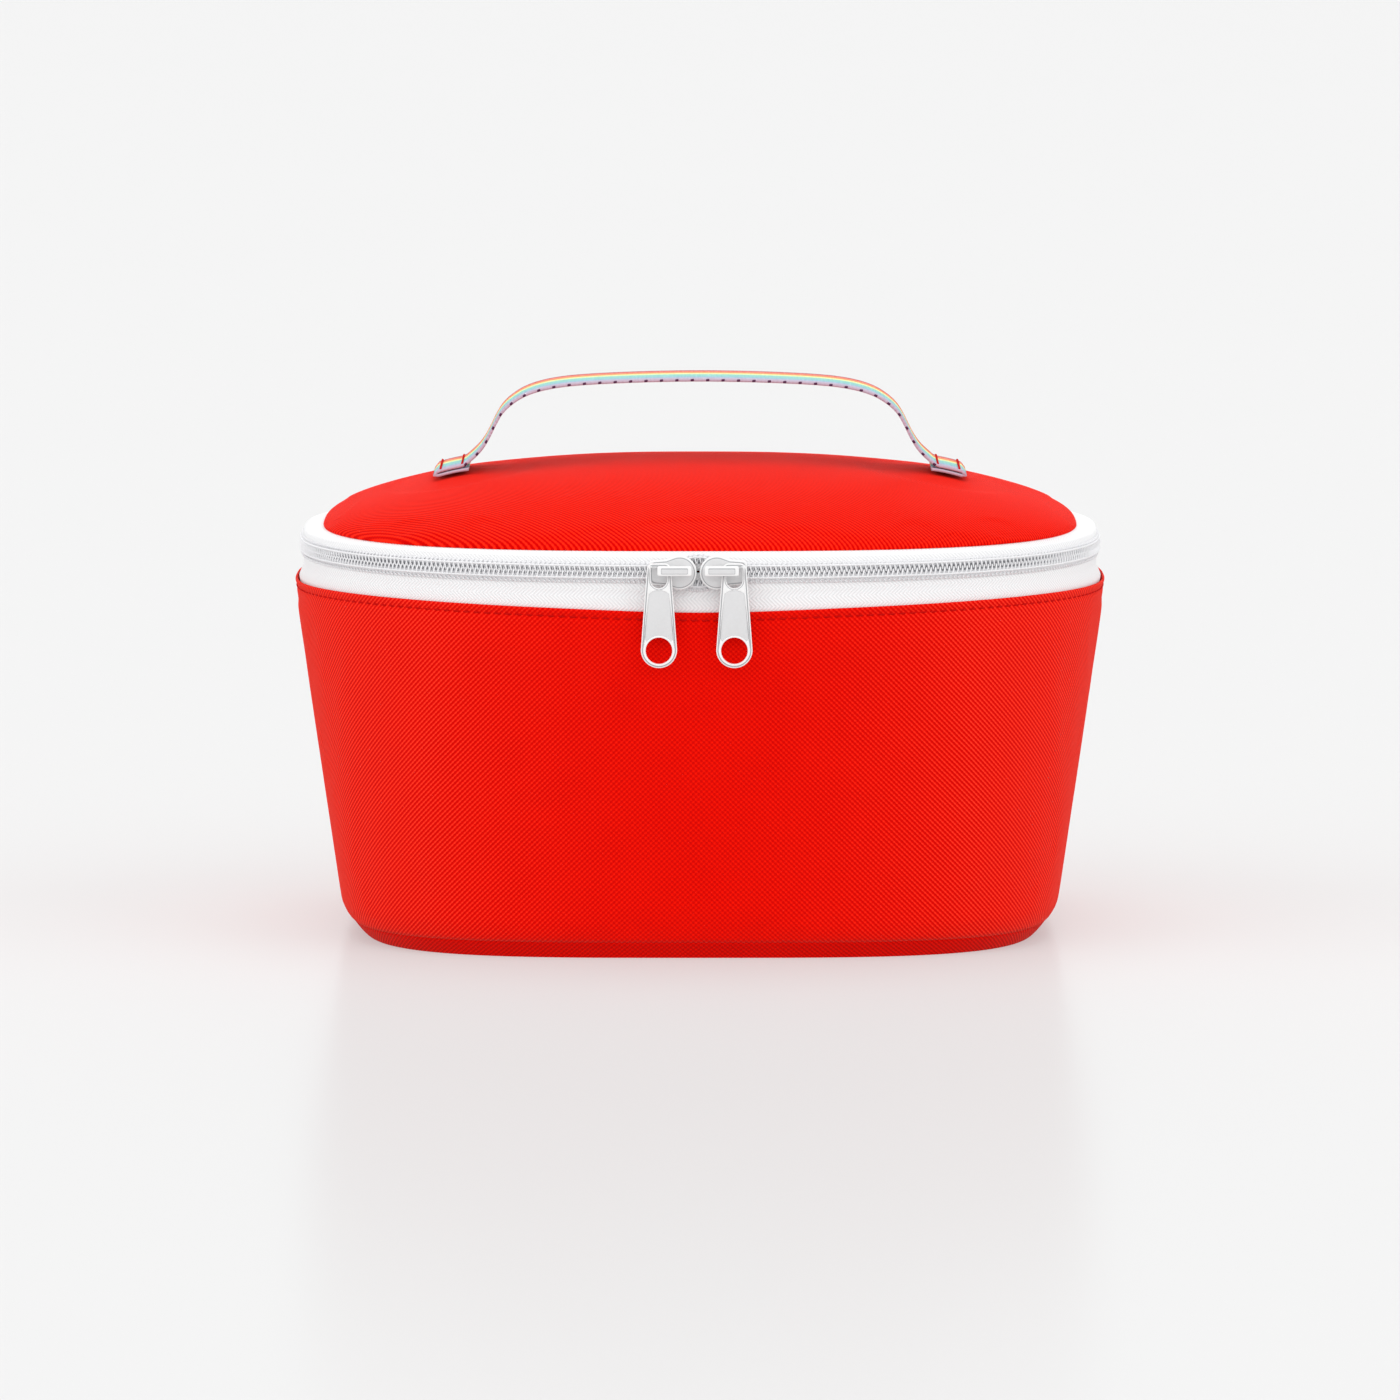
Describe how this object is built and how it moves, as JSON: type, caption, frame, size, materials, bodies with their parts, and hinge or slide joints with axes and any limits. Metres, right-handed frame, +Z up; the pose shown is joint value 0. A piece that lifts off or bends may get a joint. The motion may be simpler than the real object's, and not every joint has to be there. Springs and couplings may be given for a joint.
{
  "type": "insulated lunch bag",
  "caption": "Oval padded lunch bag with a domed lid on a fabric hinge, a zip round the rim closed by two sliders that meet in front, and a webbing carry strap.",
  "frame": {"origin": "centre of the base's underside, on the surface the bag stands on", "axes": "+X to the right seen from the front, where the zip sliders meet; +Y to the hinge at the back; +Z up"},
  "size_m": [0.2256, 0.1894, 0.1529],
  "materials": {
    "canvas": "matte woven canvas",
    "base": "matte woven canvas",
    "foam": "closed-cell padding",
    "lining": "silvered film",
    "tape": "woven zip tape",
    "coil": "satin",
    "binding": "matte binding tape",
    "plastic": "satin enamel",
    "webbing": "woven striped webbing"
  },
  "bodies": {
    "pouch": {"wall_panel": "canvas", "wall_foam": "foam", "wall_lining": "lining", "body_rim_binding": "binding", "base_panel": "base", "base_foam": "foam", "base_lining": "lining", "zip_tape_lower": "tape", "zip_coil_lower": "coil", "hinge_panel": "canvas", "hinge_lining": "lining"},
    "lid": {"zip_tape_upper": "tape", "zip_coil_upper": "coil", "lid_panel": "canvas", "lid_foam": "foam", "lid_lining": "lining", "strap_foot_left": "webbing", "strap_foot_right": "webbing", "strap_leg_left": "webbing", "strap_leg_right": "webbing"},
    "handle": {"handle_strap": "webbing"},
    "slider_left": {"slider_left": "plastic"},
    "slider_right": {"slider_right": "plastic"},
    "pull_left": {"pull_left": "plastic"},
    "pull_right": {"pull_right": "plastic"}
  },
  "joints": [
    {"name": "lid_hinge", "type": "hinge", "parent": "pouch", "child": "lid", "pos_m": [0, 0.09, 0.1068], "axis": [-1, 0, 0], "range_deg": [0, 110], "deforming": ["hinge_panel", "hinge_lining"]},
    {"name": "handle_tilt", "type": "hinge", "parent": "lid", "child": "handle", "pos_m": [0, 0, 0.1289], "axis": [1, 0, 0], "range_deg": [-50, 50], "stiffness_Nm_per_rad": 0.02, "deforming": ["strap_leg_left", "strap_leg_right"]},
    {"name": "slider_left_run", "type": "hinge", "parent": "pouch", "child": "slider_left", "pos_m": [0, 0.1271, 0.1068], "axis": [0, 0, -1], "range_deg": [0, 13]},
    {"name": "slider_right_run", "type": "hinge", "parent": "pouch", "child": "slider_right", "pos_m": [0, 0.1271, 0.1068], "axis": [0, 0, 1], "range_deg": [0, 13]},
    {"name": "pull_left_swing", "type": "hinge", "parent": "slider_left", "child": "pull_left", "pos_m": [-0.0107, -0.0946, 0.1073], "axis": [0, 1, 0], "range_deg": [-10, 90]},
    {"name": "pull_right_swing", "type": "hinge", "parent": "slider_right", "child": "pull_right", "pos_m": [0.0097, -0.0946, 0.1073], "axis": [0, -1, 0], "range_deg": [-10, 90]}
  ]
}
